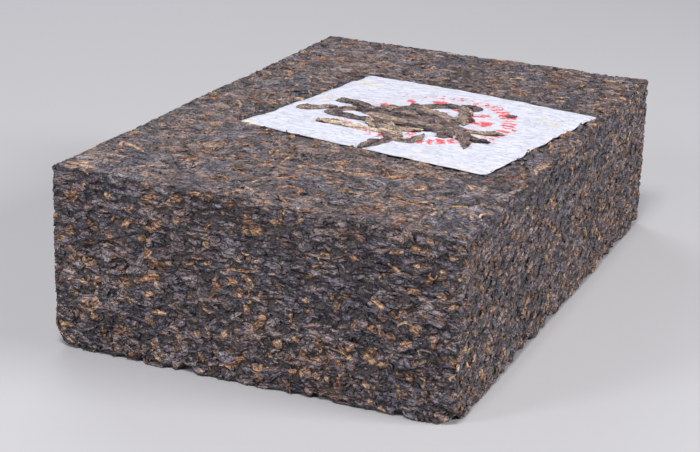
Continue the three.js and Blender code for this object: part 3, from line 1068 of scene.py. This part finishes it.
def coreFinish():
    # Packed crumbs: noise over the place on the brick picks between near black, brown and
    # tan, and is a bump too. The near black, darker than any leaf, is painted shade for the
    # cracks where the core shows between leaves; brown and tan are the crumbs' own colour.
    material, nodes, links, shader = newMaterial("leafCore")
    crumbs = noiseNode(nodes, links, spotNode(nodes, links), 1.3, 4.0, 0.7)
    stops = [(0.3, (0.016, 0.013, 0.016)), (0.5, (0.070, 0.058, 0.064)), (0.62, (0.15, 0.115, 0.11)),
             (0.75, (0.36, 0.23, 0.17))]
    links.new(rampNode(nodes, links, crumbs, stops), shader.inputs["Base Color"])
    shader.inputs["Roughness"].default_value = 0.5
    addBump(nodes, links, shader, crumbs, 1.0)
    return material


core.data.materials.append(coreFinish())


paperLook = {
    "middle": (0.4, 1.4),  # of the rings of strokes, from the ticket's middle
    "ink": (0.84, 0.085, 0.090),
    "white": (0.70, 0.72, 0.83),
    "stained": (0.76, 0.71, 0.66),
    # grey of the painted shade along the creases
    "creaseShadeColour": (0.62, 0.62, 0.70),
    "drift": 3.4,  # the strokes are bent out of place by up to half of this
    "inkShare": 0.92,  # how much of the ink's colour a whole stroke shows
    "innerKept": 0.2,  # added to the wear noise; the ink is there where the sum is high
    "outerKept": 0.22,  # the most that is added for the outer ring
    "wearRange": (0.53, 0.65),  # the sum at which the ink begins and is whole
    "inkSlope": (-22.0, 14.0),  # slope at which none and all of outerKept is added
    "stainRange": (0.54, 0.72),
    "creaseWidth": 0.03,
    "creaseShade": 0.35,
    "wrinkles": 0.8,  # height of the wrinkles' bump
}
inkRings = {
    "outer": {"count": 52, "radius": 20.0, "reach": 1.7, "width": 0.27},
    "inner": {"count": 12, "radius": 12.8, "reach": 2.8, "width": 0.2},
}


def buildDashRing():
    # A ring of short plain strokes round the origin. Place is in millimetres, Count the
    # number of strokes, Radius and Reach the band they fill, and Width about half a stroke's
    # width in steps, which varies from stroke to stroke. Stroke is 1 on a stroke, else 0.
    group = bpy.data.node_groups.new("dashRing", "ShaderNodeTree")
    group.interface.new_socket("Place", in_out="INPUT", socket_type="NodeSocketVector")
    for label in ("Count", "Radius", "Reach", "Width"):
        group.interface.new_socket(label, in_out="INPUT", socket_type="NodeSocketFloat")
    group.interface.new_socket("Stroke", in_out="OUTPUT", socket_type="NodeSocketFloat")
    nodes, links = group.nodes, group.links
    entry = addNode(nodes, "NodeGroupInput").outputs
    leave = addNode(nodes, "NodeGroupOutput").inputs
    parts = addNode(nodes, "ShaderNodeSeparateXYZ")
    links.new(entry["Place"], parts.inputs["Vector"])
    turn = mathNode(nodes, links, "ARCTAN2", parts.outputs["Y"], parts.outputs["X"])
    turn = mathNode(nodes, links, "MULTIPLY", turn, 0.5 / np.pi)
    steps = mathNode(nodes, links, "MULTIPLY", turn, entry["Count"])
    number = mathNode(nodes, links, "FLOOR", steps)
    chance = addNode(nodes, "ShaderNodeTexWhiteNoise", noise_dimensions="1D")
    links.new(number, chance.inputs["W"])
    inStep = mathNode(nodes, links, "SUBTRACT", mathNode(nodes, links, "FRACT", steps), 0.5)
    off = mathNode(nodes, links, "ABSOLUTE", inStep)
    varied = mathNode(nodes, links, "ADD", chance.outputs["Value"], 0.45)
    wide = mathNode(nodes, links, "MULTIPLY", varied, entry["Width"])
    beside = mathNode(nodes, links, "SUBTRACT", wide, off)
    size = addNode(nodes, "ShaderNodeVectorMath", operation="LENGTH")
    links.new(entry["Place"], size.inputs[0])
    out = mathNode(nodes, links, "SUBTRACT", size.outputs["Value"], entry["Radius"])
    shifted = mathNode(nodes, links, "SUBTRACT", chance.outputs["Value"], 0.5)
    out = mathNode(nodes, links, "ABSOLUTE", mathNode(nodes, links, "ADD", out, shifted))
    within = mathNode(nodes, links, "SUBTRACT", entry["Reach"], out)
    stroke = mathNode(nodes, links, "MULTIPLY", smoothStep(nodes, links, beside, -0.05, 0.05),
                      smoothStep(nodes, links, within, -0.15, 0.15))
    links.new(stroke, leave["Stroke"])
    return group


dashRing = buildDashRing()


def paperFinish():
    # White paper with faint stains, wrinkles, and grey painted shade along thin crease lines,
    # and two rings of plain red strokes whose ink is worn by noise. The outer ring's ink is kept
    # best towards the ticket's right and front.
    material, nodes, links, shader = newMaterial("ticketPaper")
    place = addNode(nodes, "ShaderNodeUVMap", uv_map="surfaceMap").outputs["UV"]
    stain = noiseNode(nodes, links, place, 0.085, 3.0, 0.6)
    stain = smoothStep(nodes, links, stain, *paperLook["stainRange"])
    paper = mixColour(nodes, links, "MIX", stain, paperLook["white"], paperLook["stained"])
    crease = noiseNode(nodes, links, stretched(nodes, links, place, (0.22, 0.6, 1)), 1.0, 3.0, 0.65)
    crease = mathNode(nodes, links, "ABSOLUTE", mathNode(nodes, links, "SUBTRACT", crease, 0.5))
    crease = smoothStep(nodes, links, crease, paperLook["creaseWidth"], 0.0)
    crease = mathNode(nodes, links, "MULTIPLY", crease, paperLook["creaseShade"])
    # Painted shade: the thin crease lines, which are also a bump, are mixed towards grey.
    paper = mixColour(nodes, links, "MIX", crease, paper, paperLook["creaseShadeColour"])
    middle = addNode(nodes, "ShaderNodeVectorMath", operation="SUBTRACT")
    middle.inputs[1].default_value = (*paperLook["middle"], 0)
    links.new(place, middle.inputs[0])
    wobble = addNode(nodes, "ShaderNodeTexNoise")
    wobble.inputs["Scale"].default_value = 0.8
    links.new(place, wobble.inputs["Vector"])
    spread = addNode(nodes, "ShaderNodeVectorMath", operation="MULTIPLY_ADD")
    drift = paperLook["drift"]
    spread.inputs[1].default_value = (drift, drift, 0)
    spread.inputs[2].default_value = (-drift / 2, -drift / 2, 0)
    links.new(wobble.outputs["Color"], spread.inputs[0])
    moved = addNode(nodes, "ShaderNodeVectorMath", operation="ADD")
    links.new(spread.outputs["Vector"], moved.inputs[0])
    links.new(middle.outputs["Vector"], moved.inputs[1])
    wear = noiseNode(nodes, links, place, 0.6, 3.0, 0.65)
    side = addNode(nodes, "ShaderNodeSeparateXYZ")
    links.new(middle.outputs["Vector"], side.inputs["Vector"])
    slope = mathNode(nodes, links, "SUBTRACT", side.outputs["X"],
                     mathNode(nodes, links, "MULTIPLY", side.outputs["Y"], 0.3))
    slope = smoothStep(nodes, links, slope, *paperLook["inkSlope"])
    kept = {
        "outer": mathNode(nodes, links, "MULTIPLY", slope, paperLook["outerKept"]),
        "inner": paperLook["innerKept"],
    }
    strokes = []
    for name, ring in inkRings.items():
        node = addNode(nodes, "ShaderNodeGroup", node_tree=dashRing)
        for label in ("Count", "Radius", "Reach", "Width"):
            node.inputs[label].default_value = ring[label.lower()]
        links.new(moved.outputs["Vector"], node.inputs["Place"])
        there = mathNode(nodes, links, "ADD", wear, kept[name])
        worn = smoothStep(nodes, links, there, *paperLook["wearRange"])
        strokes.append(mathNode(nodes, links, "MULTIPLY", node.outputs["Stroke"], worn))
    ink = mathNode(nodes, links, "MAXIMUM", *strokes)
    ink = mathNode(nodes, links, "MULTIPLY", ink, paperLook["inkShare"])
    links.new(mixColour(nodes, links, "MIX", ink, paper, paperLook["ink"]), shader.inputs["Base Color"])
    shader.inputs["Roughness"].default_value = 0.8
    shader.inputs["Specular IOR Level"].default_value = 0.2
    wrinkle = noiseNode(nodes, links, stretched(nodes, links, place, (0.22, 0.5, 1)), 1.0, 2.0, 0.45)
    height = mathNode(nodes, links, "ADD", wrinkle, mathNode(nodes, links, "MULTIPLY", crease, 0.4))
    addBump(nodes, links, shader, height, paperLook["wrinkles"])
    return material


paperTicket.data.materials.append(paperFinish())
print("materials: ready")


# ---- floor, light and camera

stage = {
    "floorSize": 8.0,
    "floorColour": (0.52, 0.52, 0.54),
    "worldColour": (0.80, 0.83, 0.95),
    "worldStrength": 0.18,
}
lamps = {
    "key": {"at": (0.08, -0.44, 0.72), "size": 0.2, "power": 4.4, "colour": (1.0, 0.98, 0.965)},
    "backSheen": {"at": (-0.45, 0.5, 0.5), "size": 0.4, "power": 1.8, "colour": (0.97, 0.98, 1.0)},
    "frontFill": {"at": (-0.55, -0.9, 0.5), "size": 0.25, "power": 3.9, "colour": (0.96, 0.97, 1.0)},
    "rightFill": {"at": (1.0, 0.1, 0.55), "size": 0.35, "power": 9.8, "colour": (1.0, 0.975, 0.96)},
}
shot = {
    "azimuth": 22.6,
    "elevation": 18.8,
    "roll": 1.88,
    "distance": 0.425,
    "aim": (-0.00804, 0.0, 0.01203),
    "lens": 89.1,
    "sensor": 36.0,
    "nearest": 0.01,
    "farthest": 30.0,
}
lampTarget = (0, 0, 0.02)


def aimed(place, target):
    # The right, up and backward axes of something at place that looks along its own -Z axis
    # at the target.
    away = np.array(place) - np.array(target)
    away = away / np.linalg.norm(away)
    right = np.cross([0, 0, 1.0], away)
    right /= np.linalg.norm(right)
    return right, np.cross(away, right), away


def setTurn(thing, right, up, away, place):
    matrix = np.eye(4)
    matrix[:3, :3] = np.stack([right, up, away], 1)
    matrix[:3, 3] = place
    thing.matrix_world = Matrix(matrix)


def makeStage():
    size = stage["floorSize"] / 2
    mesh = bpy.data.meshes.new("floor")
    mesh.from_pydata([(-size, -size, 0), (size, -size, 0), (size, size, 0), (-size, size, 0)], [],
                     [(0, 1, 2, 3)])
    floor = bpy.data.objects.new("floor", mesh)
    bpy.context.scene.collection.objects.link(floor)
    material, nodes, links, shader = newMaterial("plainFloor")
    shader.inputs["Base Color"].default_value = (*stage["floorColour"], 1)
    shader.inputs["Roughness"].default_value = 0.9
    mesh.materials.append(material)
    world = bpy.data.worlds.new("studio")
    world.use_nodes = True
    background = world.node_tree.nodes["Background"]
    background.inputs["Color"].default_value = (*stage["worldColour"], 1)
    background.inputs["Strength"].default_value = stage["worldStrength"]
    bpy.context.scene.world = world
    for name, lamp in lamps.items():
        light = bpy.data.lights.new(name, "AREA")
        light.size = lamp["size"]
        light.energy = lamp["power"]
        light.color = lamp["colour"]
        holder = bpy.data.objects.new(name, light)
        bpy.context.scene.collection.objects.link(holder)
        setTurn(holder, *aimed(lamp["at"], lampTarget), lamp["at"])


def makeCamera():
    azimuth, elevation = np.radians([shot["azimuth"], shot["elevation"]])
    back = np.array([np.sin(azimuth) * np.cos(elevation), -np.cos(azimuth) * np.cos(elevation),
                     np.sin(elevation)])
    place = np.array(shot["aim"]) + shot["distance"] * back
    right, up, away = aimed(place, shot["aim"])
    roll = np.radians(shot["roll"])
    turnedRight = right * np.cos(roll) + up * np.sin(roll)
    turnedUp = up * np.cos(roll) - right * np.sin(roll)
    lens = bpy.data.cameras.new("camera")
    lens.lens = shot["lens"]
    lens.sensor_width = shot["sensor"]
    lens.clip_start = shot["nearest"]
    lens.clip_end = shot["farthest"]
    camera = bpy.data.objects.new("camera", lens)
    bpy.context.scene.collection.objects.link(camera)
    setTurn(camera, turnedRight, turnedUp, away, place)
    bpy.context.scene.camera = camera


makeStage()
makeCamera()
bpy.context.scene.view_settings.view_transform = "Standard"
print("stage: ready")
